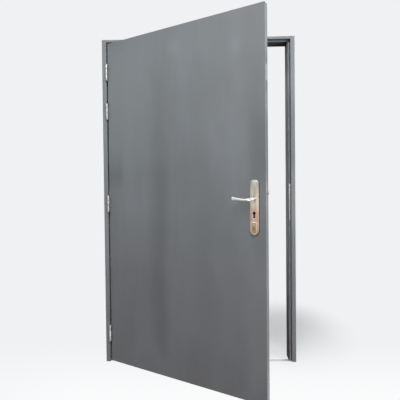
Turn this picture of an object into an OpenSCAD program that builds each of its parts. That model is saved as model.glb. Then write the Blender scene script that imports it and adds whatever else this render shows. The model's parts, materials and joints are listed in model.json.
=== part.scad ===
// Steel container door set: folded frame, sheet steel leaf, butt hinges, sash lock and lever furniture.
// X runs from the hinge side to the lock side, Y into the building and Z up. The origin is the middle of
// the frame's footprint on the floor. The leaf hangs on the left and opens outwards, towards -Y.

/* [Frame] */
// Outer width of the frame
frame_w = 1195; // [900:5:1400]
// Outer height of the frame
frame_h = 2020; // [1960:5:2400]
// Depth of the frame through the wall
frame_d = 135; // [110:1:200]
// Thickness of the folded frame steel
frame_sheet = 2; // [1.5:0.5:3]
// Centre line radius of the frame's folds
frame_fold = 2.5; // [2:0.25:3.5]
// Width of a jamb's front face
jamb_face = 27; // [25:1:40]
// Height of the head's front face
head_face = 17; // [14:1:30]
// Width of the stop on the jambs
jamb_stop = 16; // [15:1:24]
// Height of the stop on the head
head_stop = 11; // [10:1:20]
// Depth of the outer return that is welded to the wall
outer_return = 25; // [15:1:60]
// Width that the back flange covers
back_flange = 31; // [20:1:38]
// Depth of the lip that stiffens the back flange
back_lip = 15; // [8:1:30]
// Thickness of the threshold bar
sill_sheet = 3; // [2:0.5:6]
// Depth of the threshold bar from front to back
sill_d = 30; // [24:1:60]
// How far the threshold bar is set back from the front face
sill_setback = 12; // [2:1:14]

/* [Frame fixings] */
// Radius of the fixing holes in the jambs
fix_hole_r = 4.5; // [3:0.25:6]
// Height of the lowest fixing hole in a jamb
fix_first_z = 215; // [120:5:260]
// Depth of the highest fixing hole below the frame's top
fix_last_drop = 305; // [120:5:340]
// Number of fixing holes in each jamb
fix_count = 4; // [2:2:4]
// Depth of the fixing holes behind the front face
fix_depth = 75; // [55:1:90]
// Radius of the floor bolt holes in the threshold bar
sill_hole_r = 5; // [3:0.25:6]
// Distance of the floor bolt holes from the jambs
sill_bolt_in = 104.5; // [50:0.5:250]

/* [Leaf] */
// Angle to which the leaf stands open
door_open = 35.8; // [0:0.1:150]
// Gap between the hinge jamb and the leaf
hinge_gap = 4.5; // [4.5:0.1:6]
// Gap between the lock jamb and the leaf
lock_gap = 4; // [3:0.1:6]
// Gap between the head and the leaf
top_gap = 9; // [4:0.5:14]
// Height of the leaf's lower edge above the floor
bottom_gap = 9; // [6:0.5:16]
// Depth of the folded outer skin
tray_d = 22.5; // [22:0.5:30]
// Thickness of both skins
skin_sheet = 1.5; // [1:0.1:2]
// Centre line radius of the skin's folds
skin_fold = 2; // [1.75:0.25:3]
// Width of the lips that carry the inner skin
skin_lip = 14; // [12:0.5:20]
// How far the inner skin's edge is set in from the leaf's edge
inner_inset = 4; // [2:0.5:7]
// How far the side folds stop short of the leaf's top and bottom
corner_notch = 15; // [8:1:30]
// Gap between the closed leaf and the stop, which the seal takes up
seal_gap = 4; // [3:0.5:6]
// Thickness of the stiffening channels
channel_sheet = 2; // [1.5:0.5:2.5]
// Width of the channels along the leaf's upright edges
stile_w = 42; // [34:1:60]
// Depth of the closing channels at the top and bottom
closer_h = 20; // [12:1:40]
// Height of the cross rails
rail_h = 40; // [30:1:60]
// Heights of the cross rails' middles as shares of the leaf's height
rail_share = [0.318, 0.6907];
// Distance between the rivets of the inner skin
rivet_pitch = 210; // [120:5:300]

/* [Hinges] */
// Heights of the lower hinges' middles
hinge_up = [182, 998];
// Depths of the upper hinges' middles below the frame's top
hinge_drop = [446, 203];
// Height of a hinge without its end caps
hinge_h = 98; // [80:1:130]
// Outer radius of the knuckles
knuckle_r = 6.2; // [5.5:0.1:6.8]
// Radius of the hinge pin
pin_r = 3; // [2.5:0.1:3.5]
// Clearance round the hinge pin
pin_play = 0.05; // [0.02:0.01:0.1]
// How far the hinge axis stands in front of the leaf
hinge_proud = 8; // [7.8:0.1:10]
// Thickness of the hinge flanges
flange_t = 2; // [1.5:0.1:2.1]
// Depth of the hinge flanges behind the front face
flange_d = 20; // [18:0.5:20]
// Radius of the pin's end caps
cap_r = 6.9; // [6:0.1:7.4]
// Height of the pin's end caps
cap_h = 2; // [2:0.5:5]
// Thickness of the bearing washers between the knuckles
washer_t = 0.8; // [0.6:0.1:2]
// Number of screws in each flange
hinge_screws = 3; // [2:1:4]

/* [Lock] */
// Height of the lever's spindle
spindle_z = 1036; // [1000:1:1080]
// Distance from the spindle to the keyhole
key_centres = 72; // [68:1:92]
// Distance from the leaf's edge to the spindle and the keyhole
backset = 65; // [55:1:75]
// Width of the lock's front plate
forend_w = 17; // [16:0.5:17.5]
// Thickness of the lock's front plate
forend_t = 3; // [2:0.5:4]
// Reach of the lock's front plate above the spindle
forend_up = 80; // [74:1:95]
// Reach of the lock's front plate below the spindle
forend_down = 155; // [145:1:200]
// Thickness of the lock case
case_t = 14.5; // [14:0.1:15.4]
// Wall of the lock case
case_wall = 1.2; // [1:0.1:1.5]
// Depth of the main lock case from the leaf's edge
case_d = 88; // [84:1:110]
// Reach of the lock case above the spindle
case_up = 54; // [50:1:60]
// Reach of the lock case below the spindle
case_down = 122; // [118:1:125]
// Height of the latch above the spindle
latch_up = 30; // [27:1:34]
// Height of the latch bolt
latch_h = 18; // [14:1:20]
// Thickness of the latch bolt
latch_t = 10; // [8:0.5:11]
// How far the latch bolt stands out
latch_out = 11; // [9:0.5:12]
// Distance from the keyhole's centre down to the middle of the dead bolt
bolt_drop = 27; // [24:1:28]
// Height of the dead bolt
bolt_h = 36; // [28:1:38]
// Thickness of the dead bolt
bolt_t = 10; // [8:0.5:11]
// Throw of the dead bolt and of the upper bolt
bolt_throw = 20; // [14:1:20]
// Radius of the keyhole's round part
key_r = 8.7; // [8.5:0.1:9]
// Width of the keyhole's straight part
key_slot = 10.4; // [10:0.1:10.8]
// Distance from the keyhole's centre to its lower end
key_drop = 24.7; // [24:0.1:26]
// Play of the bolts in their openings
bolt_play = 0.4; // [0.2:0.1:0.8]

/* [Upper lock point] */
// Depth of the upper bolt below the frame's top
upper_drop = 348; // [330:1:500]
// Radius of the upper bolt
upper_r = 6; // [4:0.25:7]
// Reach of the upper front plate above its bolt
upper_up = 22; // [20:1:40]
// Reach of the upper front plate below its bolt
upper_down = 58; // [50:1:90]
// Depth of the upper lock case from the leaf's edge
upper_d = 60; // [50:1:80]
// Radius of the rod that links both locks
rod_r = 3.5; // [2.5:0.25:4]
// Distance of the link rod from the leaf's edge
rod_in = 34; // [30:1:36]

/* [Strike] */
// Height of the strike's upper end above the spindle
strike_up = 76; // [70:1:90]
// Height of the strike's lower end below the spindle
strike_down = 153; // [145:1:170]
// Thickness of the strike
strike_t = 2; // [1.5:0.1:2.5]
// Width of the strike's leg on the stop
strike_leg = 12; // [9:0.5:13]

/* [Seal] */
// Distance of the seal from the rebate's corner
seal_set = 1.8; // [1.6:0.1:2.5]
// Width of the seal's base
seal_base = 9; // [8:0.5:10.5]
// Thickness of the seal's wall
seal_wall = 1.2; // [0.8:0.1:1.5]
// Gap that the seal leaves to the closed leaf
seal_play = 0.3; // [0.3:0.1:0.8]

/* [Lever and plates] */
// Width of the backplates
plate_w = 51; // [46:1:56]
// Width of the backplates' upper ends
plate_top_w = 50; // [40:1:50]
// Radius of the backplates' upper corners
plate_corner = 18; // [12:1:19]
// Thickness of the backplates
plate_t = 9; // [6:0.5:12]
// Reach of the backplates above the spindle
plate_up = 95; // [90:1:120]
// Reach of the backplates below the spindle
plate_down = 181; // [178:1:200]
// Width of the bevel round the backplates
plate_bevel = 9; // [3:0.5:11]
// Rise of the bevel round the backplates
plate_rise = 3; // [1:0.5:3.5]
// Height of a backplate's bolts above the spindle
bolt_up = 70; // [66:1:78]
// Depth of a backplate's lower bolt below the spindle
bolt_down = 158; // [150:1:164]
// Radius of the lever's neck
neck_r = 7.5; // [7.25:0.25:10]
// Play of the necks in their bearings
neck_play = 0.06; // [0.02:0.01:0.1]
// Length of the lever from the spindle to its tip
lever_l = 110; // [95:1:130]
// How far the lever's arm stands off the leaf
lever_out = 47; // [40:1:60]
// Side of the square spindle
spindle_side = 8; // [7:0.5:9]
// Play of the square spindle in the levers and the follower
spindle_play = 0.06; // [0.02:0.01:0.15]
// Distance from the keyhole's centre down to the cover's rivet
cover_drop = 48; // [44:1:50]
// Length of the cover below its rivet
cover_l = 56; // [52:1:58]
// Height of the cover above its rivet
cover_up = 6; // [5:0.5:9]
// Width of the keyhole cover
cover_w = 36; // [30:1:40]
// Radius of the keyhole cover's upper corners
cover_corner = 8; // [4:0.5:12]
// Thickness of the keyhole cover
cover_t = 2; // [1.2:0.1:3]
// Radius of the cover's rivet
rivet_r = 2.5; // [2:0.25:3]

/* [Hidden] */
$fn = 48;

paint = "#6b7276";
galvanised = "#a9adb0";
stainless = "#c9c8c3";
rubber = "#17181a";
wool = "#c9b879";

front_y = -frame_d / 2;
sill_pitch = frame_w - 2 * (jamb_face + jamb_stop + sill_bolt_in);
fix_pitch = (frame_h - fix_last_drop - fix_first_z) / (fix_count - 1);
hinge_z = concat(hinge_up, [for (drop = hinge_drop) frame_h - drop]);
upper_z = frame_h - upper_drop;
leaf_w = frame_w - 2 * jamb_face - hinge_gap - lock_gap;
leaf_z0 = bottom_gap;
leaf_z1 = frame_h - head_face - top_gap;
leaf_d = tray_d + skin_sheet;                  // depth over both skins
rail_z = [for (share = rail_share) leaf_z0 + share * (leaf_z1 - leaf_z0)];
rebate_d = leaf_d + seal_gap;                  // the closed leaf lies flush with the frame's face
stop_u = jamb_face + jamb_stop;                // the throat's face, from the frame's outer edge
hinge_u = jamb_face + hinge_gap / 2;           // the hinge axis stands over the middle of the gap
axis = [-frame_w / 2 + hinge_u, front_y - hinge_proud, 0];
mid_d = tray_d / 2;                            // locks lie in the middle of the tray's depth
stile_d = tray_d - 2 * skin_sheet;             // channels fill the tray between skin and lips
face_in = skin_sheet;                          // inner face of the outer skin
lock_web = forend_t;                           // the lock stile's web carries the front plates
key_z = spindle_z - key_centres;
latch_z = spindle_z + latch_up;
bolt_z = key_z - bolt_drop;
cover_z = key_z - cover_drop;
case_z0 = spindle_z - case_down;
case_z1 = spindle_z + case_up;
upper_z0 = upper_z - upper_down + 16;
upper_z1 = upper_z + upper_up - 13;
stile_z0 = leaf_z0 + corner_notch + closer_h;
stile_z1 = leaf_z1 - corner_notch - closer_h;
web_gap = 0.3;                                 // gap between pieces that pass or face each other
flat_play = 0.1;                               // end play between knuckles, washers and caps
screw_r = 2.5;
screw_head_r = 4.4;
screw_play = 0.1;
bolt_r = 3;

// Moves a path sideways by a distance, to the left as one walks along it, with mitred corners
function way(a, b) = (b - a) / norm(b - a);
function left_of(v) = [-v[1], v[0]];
function shifted(p, by) = [for (i = [0:len(p) - 1])
    let (a = left_of(way(p[max(i - 1, 0)], p[max(i, 1)])),
         b = left_of(way(p[min(i, len(p) - 2)], p[min(i + 1, len(p) - 1)])))
    p[i] + (a + b) * by / (1 + a * b)];

// Rounds the inner corners of a path with arcs of one radius
function turned(v, a) = [v[0] * cos(a) - v[1] * sin(a), v[0] * sin(a) + v[1] * cos(a)];
function corner(p, i, r, steps) =
    let (u = way(p[i - 1], p[i]), v = way(p[i], p[i + 1]),
         turn = atan2(u[0] * v[1] - u[1] * v[0], u * v),
         start = p[i] - u * r * tan(abs(turn) / 2),
         middle = start + left_of(u) * r * sign(turn))
    [for (k = [0:steps]) middle + turned(start - middle, turn * k / steps)];
function rounded(p, r, steps = 4) = concat([p[0]],
    [for (i = [1:len(p) - 2]) each corner(p, i, r, steps)], [p[len(p) - 1]]);
function backwards(p) = [for (i = [len(p) - 1:-1:0]) p[i]];

// Section of a folded sheet whose outer surface follows a path, with the steel on the left of it
module folded(path, sheet, fold) {
    line = rounded(shifted(path, sheet / 2), fold);
    polygon(concat(shifted(line, sheet / 2), backwards(shifted(line, -sheet / 2))));
}

// Places on the frame: x is the distance from its outer edge, y the depth behind its front face
module hinge_side() translate([-frame_w / 2, front_y, 0]) children();
module lock_side() translate([frame_w / 2, front_y, 0]) mirror([1, 0, 0]) children();

// Places on the leaf, at the angle where it stands: x from the hinge edge, y behind the outer face
module leaf() {
    translate(axis) rotate([0, 0, -door_open]) translate([hinge_gap / 2, hinge_proud, 0]) children();
}
// The same, with x measured back from the leaf's lock edge
module lock_edge() leaf() translate([leaf_w, 0, 0]) mirror([1, 0, 0]) children();

// A box given by its lower and its upper corner
module block(low, high) translate(low) cube(high - low);
// A rod along Y, along X or along Z from a point
module rod_y(x, z, y0, y1, r) translate([x, y0, z]) rotate([-90, 0, 0]) cylinder(r = r, h = y1 - y0);
module rod_x(y, z, x0, x1, r) translate([x0, y, z]) rotate([0, 90, 0]) cylinder(r = r, h = x1 - x0);
// A countersunk screw whose head faces Z, flush with z = 0, and the hole that it sits in
module flat_screw(length) {
    rotate_extrude() polygon([[0, -length], [screw_r - screw_play, -length],
        [screw_r - screw_play, screw_r - screw_head_r - screw_play], [screw_head_r - screw_play, -screw_play],
        [0, -screw_play]]);
}
module sunk_hole(depth) {
    translate([0, 0, -depth]) cylinder(r = screw_r, h = depth + 1);
    translate([0, 0, screw_r - screw_head_r])
        cylinder(r1 = screw_r, r2 = screw_head_r, h = screw_head_r - screw_r);
}
// Turns something that faces Z to face X, or to face away from it
module facing_x(side = 1) rotate([0, 90 * side, 0]) children();

// The frame

function frame_path(face, stop) = [
    [0, outer_return], [0, 0], [face, 0], [face, rebate_d], [face + stop, rebate_d],
    [face + stop, frame_d], [face + stop - back_flange, frame_d],
    [face + stop - back_flange, frame_d - back_lip]];
head_back = head_face + head_stop;

module jamb() {
    linear_extrude(frame_h) folded(frame_path(jamb_face, jamb_stop), frame_sheet, frame_fold);
}
module jamb_fixings() {
    for (i = [0:fix_count - 1])
        rod_x(fix_depth, fix_first_z + i * fix_pitch, stop_u - 2 * frame_sheet, stop_u + 1, fix_hole_r);
}
module jamb_hinge_holes() {
    for (z = hinge_z) for (dz = screw_rows())
        rod_x(flange_screw_d(), z + dz, jamb_face - 2 * frame_sheet, jamb_face + 1, screw_r);
}
function screw_rows() = [for (i = [0:hinge_screws - 1])
    (i - (hinge_screws - 1) / 2) * (hinge_h - 24) / (hinge_screws - 1)];
function flange_screw_d() = flange_d / 2 + 1;

// The solid outline of a jamb, which scribes the head and the threshold
module jamb_outline() {
    translate([0, 0, -1]) linear_extrude(frame_h + 2) polygon([[-1, -1], [jamb_face, -1],
        [jamb_face, rebate_d], [stop_u, rebate_d], [stop_u, frame_d + 1], [-1, frame_d + 1]]);
}

module hinge_jamb() color(paint) hinge_side() difference() {
    jamb();
    jamb_fixings();
    jamb_hinge_holes();
}
module lock_jamb() color(paint) lock_side() difference() {
    jamb();
    jamb_fixings();
    bolt_windows(jamb_face - 2 * frame_sheet, jamb_face + 1, 1);
    rod_x(mid_d, upper_z, jamb_face - 2 * frame_sheet, jamb_face + 1, upper_r + 1.5);
    strike_screw_places() rod_x(0, 0, jamb_face - 2 * frame_sheet, jamb_face + 1, screw_r);
}
module head_rail() color(paint) difference() {
    translate([-frame_w / 2, front_y, frame_h]) rotate([0, 90, 0])
        linear_extrude(frame_w) folded(head_path(), frame_sheet, frame_fold);
    hinge_side() jamb_outline();
    lock_side() jamb_outline();
}
function head_path() = [
    [0, outer_return], [0, 0], [head_face, 0], [head_face, rebate_d], [head_back, rebate_d],
    [head_back, frame_d], [2 * frame_sheet, frame_d], [2 * frame_sheet, frame_d - back_lip]];
// The threshold is a flat bar between the jambs, under the closed leaf's inner face
module threshold() color(galvanised) difference() {
    sill_y = front_y + sill_setback;
    block([-frame_w / 2, sill_y, 0], [frame_w / 2, sill_y + sill_d, sill_sheet]);
    hinge_side() jamb_outline();
    lock_side() jamb_outline();
    for (side = [-1, 1]) translate([side * sill_pitch / 2, sill_y + sill_d / 2, -1])
        cylinder(r = sill_hole_r, h = sill_sheet + 2);
}

// The seal is a hollow rubber D on a flat base. Its section is drawn from the rebate's corner.
module seal_section() {
    bulb = seal_gap - seal_play;
    place = seal_set + seal_base / 2;
    difference() {
        union() {
            translate([seal_set, 0]) square([seal_base, seal_wall]);
            intersection() {
                translate([place, 0]) circle(r = bulb);
                translate([place - bulb, 0]) square([2 * bulb, bulb]);
            }
        }
        intersection() {
            translate([place, 0]) circle(r = bulb - seal_wall);
            translate([place - bulb, seal_wall]) square([2 * bulb, bulb]);
        }
    }
}
module jamb_seal(z0, z1) {
    translate([jamb_face, rebate_d, z0]) mirror([0, 1, 0]) linear_extrude(z1 - z0) seal_section();
}
seal_z1 = frame_h - head_face - 0.5;
seal_end = jamb_face + seal_set + seal_base + web_gap;
strike_z0 = spindle_z - strike_down;
strike_z1 = spindle_z + strike_up;
module hinge_jamb_seal() color(rubber) hinge_side() jamb_seal(sill_sheet + 0.5, seal_z1);
module lock_jamb_seal_upper() color(rubber) lock_side() jamb_seal(strike_z1 + 1, seal_z1);
module lock_jamb_seal_lower() color(rubber) lock_side() jamb_seal(sill_sheet + 0.5, strike_z0 - 1);
module head_seal() color(rubber) {
    translate([-frame_w / 2 + seal_end, front_y + rebate_d, frame_h - head_face]) rotate([0, 90, 0])
        mirror([0, 1, 0]) linear_extrude(frame_w - 2 * seal_end) seal_section();
}

// Openings for the latch and the dead bolt, from one distance behind an edge to another
module bolt_windows(u0, u1, play) {
    block([u0, mid_d - latch_t / 2 - play, latch_z - latch_h / 2 - play],
        [u1, mid_d + latch_t / 2 + play, latch_z + latch_h / 2 + play]);
    block([u0, mid_d - bolt_t / 2 - play, bolt_z - bolt_h / 2 - play],
        [u1, mid_d + bolt_t / 2 + play, bolt_z + bolt_h / 2 + play]);
}
module strike_screw_places() {
    for (z = [strike_z0 + 14, strike_z1 - 14]) translate([0, mid_d, z]) children();
}
// The strike is a folded angle, flat on the rebate and with round corners on the stop
module main_strike() color(stainless) lock_side() difference() {
    intersection() {
        translate([0, 0, strike_z0]) linear_extrude(strike_z1 - strike_z0) folded([
            [jamb_face + strike_t, 4], [jamb_face + strike_t, rebate_d - strike_t],
            [jamb_face + strike_leg, rebate_d - strike_t]], strike_t, frame_fold);
        rotate([90, 0, 0]) mirror([0, 0, 1]) linear_extrude(rebate_d + 1) strike_front();
    }
    bolt_windows(jamb_face - 1, jamb_face + strike_t + 1, 0.8);
    strike_screw_places() translate([jamb_face + strike_t, 0, 0]) facing_x() sunk_hole(2 * strike_t);
}
module strike_front() {
    round_r = strike_leg / 2;
    translate([jamb_face - 1, strike_z0]) square([strike_leg + 1 - round_r, strike_z1 - strike_z0]);
    translate([jamb_face, strike_z0 + round_r]) square([strike_leg, strike_z1 - strike_z0 - 2 * round_r]);
    for (z = [strike_z0 + round_r, strike_z1 - round_r])
        translate([jamb_face + strike_leg - round_r, z]) circle(r = round_r);
}
module strike_screws() color(stainless) lock_side() strike_screw_places()
    translate([jamb_face + strike_t, 0, 0]) facing_x() flat_screw(12);

// The hinges: the frame's half has the outer two knuckles, the leaf's half the middle one

knuckle_h = hinge_h / 3;
own_h = knuckle_h - washer_t - 2 * flat_play;
// A flange from u0 on, with the knuckles whose middles are given; the screws' heads are on one side
module hinge_half(u0, own, side) {
    head_u = side > 0 ? u0 + flange_t : u0;
    difference() {
        union() {
            block([u0, hinge_proud - 1, -hinge_h / 2], [u0 + flange_t, hinge_proud + flange_d, hinge_h / 2]);
            for (z = own) translate([0, 0, z]) {
                cylinder(r = knuckle_r, h = own_h, center = true);
                block([u0, 0, -own_h / 2], [u0 + flange_t, hinge_proud, own_h / 2]);
            }
        }
        cylinder(r = pin_r + pin_play, h = 2 * hinge_h, center = true);
        for (dz = screw_rows())
            translate([head_u, hinge_proud + flange_screw_d(), dz]) facing_x(side) sunk_hole(2 * flange_t);
    }
}
module hinge_place(i) translate([axis[0], axis[1], hinge_z[i]]) children();
module frame_half(i) color(stainless) hinge_place(i)
    hinge_half(-hinge_gap / 2, [-knuckle_h, knuckle_h], 1);
module leaf_half(i) color(stainless) hinge_place(i) rotate([0, 0, -door_open])
    hinge_half(hinge_gap / 2 - flange_t, [0], -1);
module hinge_pin(i) color(stainless) hinge_place(i) {
    reach = knuckle_h + own_h / 2 + flat_play;
    cylinder(r = pin_r, h = 2 * reach + 2, center = true);
    for (s = [-1, 1]) scale([1, 1, s]) translate([0, 0, reach]) rotate_extrude()
        polygon([[0, 0], [cap_r, 0], [cap_r, cap_h - 1], [cap_r - 1, cap_h], [0, cap_h]]);
}
module hinge_washers() color(galvanised) for (i = [0:len(hinge_z) - 1]) for (s = [-1, 1])
    hinge_place(i) translate([0, 0, s * knuckle_h / 2]) difference() {
        cylinder(r = knuckle_r - web_gap, h = washer_t, center = true);
        cylinder(r = pin_r + pin_play, h = 2 * washer_t, center = true);
    }
module hinge_frame_screws() color(stainless) hinge_side() for (z = hinge_z) for (dz = screw_rows())
    translate([jamb_face + flange_t, flange_screw_d(), z + dz]) facing_x() flat_screw(14);
module hinge_leaf_screws() color(stainless) leaf() for (z = hinge_z) for (dz = screw_rows())
    translate([-flange_t, flange_screw_d(), z + dz]) facing_x(-1) flat_screw(14);

// The leaf

module skin_section() folded([
    [skin_lip, tray_d], [0, tray_d], [0, 0], [leaf_w, 0], [leaf_w, tray_d], [leaf_w - skin_lip, tray_d]],
    skin_sheet, skin_fold);
module keyhole(y0, y1) {
    rod_y(backset, key_z, y0, y1, key_r);
    block([backset - key_slot / 2, y0, key_z - key_drop + key_slot / 2],
        [backset + key_slot / 2, y1, key_z]);
    rod_y(backset, key_z - key_drop + key_slot / 2, y0, y1, key_slot / 2);
}
module furniture_holes(y0, y1, neck) {
    keyhole(y0, y1);
    rod_y(backset, spindle_z, y0, y1, neck);
    for (z = plate_bolt_z()) rod_y(backset, z, y0, y1, bolt_r + 0.4);
}
function plate_bolt_z() = [spindle_z - bolt_down, spindle_z + bolt_up];
module forend_cut(low, high, u1, play) {
    block([-1, mid_d - forend_w / 2 - play, low - play], [u1, mid_d + forend_w / 2 + play, high + play]);
}
module leaf_skin() color(paint) difference() {
    union() {
        leaf() translate([0, 0, leaf_z0 + corner_notch])
            linear_extrude(leaf_z1 - leaf_z0 - 2 * corner_notch) skin_section();
        for (z = [leaf_z0, leaf_z1 - corner_notch])
            leaf() block([0, 0, z], [leaf_w, skin_sheet, z + corner_notch]);
    }
    lock_edge() {
        furniture_holes(-1, skin_sheet + 1, neck_r + 1);
        forend_cut(spindle_z - forend_down, spindle_z + forend_up, skin_sheet + 0.5, 0.2);
        forend_cut(upper_z - upper_down, upper_z + upper_up, skin_sheet + 0.5, 0.2);
    }
    leaf() for (z = hinge_z) for (dz = screw_rows())
        rod_x(flange_screw_d(), z + dz, -1, skin_sheet + 0.4, screw_r);
    rivet_holes();
}
rivet_u = inner_inset + 5;
rivet_hole_r = 1.8;
rivet_l = skin_sheet * 2 + channel_sheet + web_gap;
rivet_rows = floor((leaf_z1 - leaf_z0 - 120) / rivet_pitch);
module rivet_places() {
    for (s = [0, 1], i = [0:rivet_rows])
        translate([s == 0 ? rivet_u : leaf_w - rivet_u, 0,
            (leaf_z0 + leaf_z1) / 2 + (i - rivet_rows / 2) * rivet_pitch]) children();
}
module rivet_holes() leaf() rivet_places() rod_y(0, 0, leaf_d - rivet_l, leaf_d + 1, rivet_hole_r);
module inner_skin() color(paint) difference() {
    leaf() block([inner_inset, tray_d, leaf_z0 + 2], [leaf_w - inner_inset, leaf_d, leaf_z1 - 2]);
    lock_edge() furniture_holes(tray_d - 1, leaf_d + 1, neck_r + 1);
    rivet_holes();
}
module skin_rivets() color(galvanised) leaf() rivet_places() translate([0, leaf_d, 0]) rotate([-90, 0, 0])
    rotate_extrude() polygon([[0, -rivet_l], [rivet_hole_r - 0.1, -rivet_l],
        [rivet_hole_r - 0.1, 0], [3.2, 0], [3, 0.5], [2, 0.9], [0, 1]]);

// Channels inside the leaf. Their sections are drawn with the open side away from the web.
module stile(web) {
    translate([0, 0, stile_z0]) linear_extrude(stile_z1 - stile_z0) folded([
        [stile_w, face_in], [web, face_in], [web, face_in + stile_d], [stile_w, face_in + stile_d]],
        -channel_sheet, channel_sheet);
}
module hinge_stile() color(galvanised) difference() {
    leaf() stile(skin_sheet);
    leaf() for (z = hinge_z) for (dz = screw_rows())
        rod_x(flange_screw_d(), z + dz, 0, skin_sheet + channel_sheet + 1, screw_r);
    rivet_holes();
}
module lock_stile() color(galvanised) difference() {
    lock_edge() stile(lock_web);
    lock_edge() lock_stile_holes();
    rivet_holes();
}
module lock_stile_holes() {
    block([lock_web - 1, mid_d - case_t / 2 - web_gap, case_z0 - web_gap],
        [lock_web + channel_sheet + 1, mid_d + case_t / 2 + web_gap, case_z1 + web_gap]);
    block([lock_web - 1, mid_d - case_t / 2 - web_gap, upper_z0 - web_gap],
        [lock_web + channel_sheet + 1, mid_d + case_t / 2 + web_gap, upper_z1 + web_gap]);
    forend_screw_places() rod_x(0, 0, lock_web - 1, lock_web + channel_sheet + 1, screw_r);
}
closer_in = skin_fold + skin_sheet / 2;        // where the skin's inner face is flat again
module closer() {
    rotate([0, -90, 0]) mirror([0, 0, 1]) linear_extrude(leaf_w - 2 * closer_in) folded([
        [-closer_h, face_in], [0, face_in], [0, face_in + stile_d], [-closer_h, face_in + stile_d]],
        skin_sheet, skin_fold);
}
module top_closer() color(galvanised) leaf() translate([closer_in, 0, leaf_z1 - corner_notch]) closer();
module bottom_closer() color(galvanised) leaf() translate([closer_in, 0, leaf_z0 + corner_notch])
    mirror([0, 0, 1]) closer();

core_s0 = stile_w + web_gap;
core_s1 = leaf_w - stile_w - web_gap;
module rail(z) color(galvanised) leaf() translate([core_s0, 0, z]) rotate([90, 0, 90])
    linear_extrude(core_s1 - core_s0) folded([
        [tray_d, -rail_h / 2], [face_in, -rail_h / 2], [face_in, rail_h / 2], [tray_d, rail_h / 2]],
        -channel_sheet, channel_sheet);
module upper_rail() rail(rail_z[1]);
module lower_rail() rail(rail_z[0]);
module core(z0, z1) color(wool) difference() {
    leaf() block([core_s0, face_in, z0 + web_gap], [core_s1, tray_d, z1 - web_gap]);
    lock_edge() {
        block([0, face_in - 1, case_z0 - 2], [case_d + 2, tray_d + 1, case_z1 + 2]);
        block([0, face_in - 1, upper_z0 - 2], [upper_d + 2, tray_d + 1, upper_z1 + 2]);
        for (z = plate_bolt_z()) rod_y(backset, z, face_in - 1, tray_d + 1, bolt_r + 1.4);
    }
}
module core_bottom() core(stile_z0, rail_z[0] - rail_h / 2);
module core_middle() core(rail_z[0] + rail_h / 2, rail_z[1] - rail_h / 2);
module core_top() core(rail_z[1] + rail_h / 2, stile_z1);

// The locks

module lock_box(z0, z1, depth) {
    difference() {
        block([lock_web, mid_d - case_t / 2, z0], [depth, mid_d + case_t / 2, z1]);
        block([lock_web + case_wall, mid_d - case_t / 2 + case_wall, z0 + case_wall],
            [depth - case_wall, mid_d + case_t / 2 - case_wall, z1 - case_wall]);
    }
}
follower_r = 9;
ear_l = 15;                                    // the follower's ear, which draws the latch back
rod_travel = bolt_throw / 2;                   // bell cranks in both cases halve the rod's travel
module main_lock_case() color(galvanised) lock_edge() difference() {
    lock_box(case_z0, case_z1, case_d);
    bolt_windows(lock_web - 1, lock_web + case_wall + 1, bolt_play);
    keyhole(0, tray_d);
    rod_y(backset, spindle_z, 0, tray_d, follower_r + neck_play);
    translate([rod_in, mid_d, case_z1 - 5]) cylinder(r = rod_r + bolt_play, h = 10);
}
module forend(z0, z1) block([0, mid_d - forend_w / 2, z0], [forend_t, mid_d + forend_w / 2, z1]);
module forend_screw_holes() forend_screw_places() facing_x(-1) sunk_hole(forend_t + 1);
module main_forend() color(stainless) lock_edge() difference() {
    forend(spindle_z - forend_down, spindle_z + forend_up);
    bolt_windows(-1, forend_t + 1, bolt_play);
    forend_screw_holes();
}
module upper_forend() color(stainless) lock_edge() difference() {
    forend(upper_z - upper_down, upper_z + upper_up);
    rod_x(mid_d, upper_z, -1, forend_t + 1, upper_r + bolt_play);
    forend_screw_holes();
}
module upper_lock_case() color(galvanised) lock_edge() difference() {
    lock_box(upper_z0, upper_z1, upper_d);
    rod_x(mid_d, upper_z, lock_web - 1, lock_web + case_wall + 1, upper_r + bolt_play);
    translate([rod_in, mid_d, upper_z0 - 5]) cylinder(r = rod_r + bolt_play, h = 10);
}
module forend_screw_places() {
    for (z = [spindle_z - forend_down + 10, spindle_z + forend_up - 10,
              upper_z - upper_down + 8, upper_z + upper_up - 7])
        translate([0, mid_d, z]) children();
}
module forend_screws() color(stainless) lock_edge() forend_screw_places() facing_x(-1) flat_screw(14);

module latch_bolt() color(stainless) lock_edge() {
    // The nose slopes on the side that meets the strike as the leaf closes
    translate([0, 0, latch_z - latch_h / 2]) linear_extrude(latch_h) polygon([
        [-latch_out, mid_d - latch_t / 2], [-latch_out, mid_d - latch_t / 2 + 2],
        [-1, mid_d + latch_t / 2], [latch_body, mid_d + latch_t / 2], [latch_body, mid_d - latch_t / 2]]);
    // The tail hooks behind the follower's ear
    hook = backset + ear_half + web_gap;
    rotate([90, 0, 0]) translate([0, 0, -mid_d - 2]) linear_extrude(4) polygon([
        [latch_body - 1, latch_z - 4], [hook, latch_z - 4], [hook, spindle_z + ear_l - 3],
        [hook + 4, spindle_z + ear_l - 3], [hook + 4, latch_z + 4], [latch_body - 1, latch_z + 4]]);
}
latch_body = forend_t + 20;
ear_half = 4;

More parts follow.
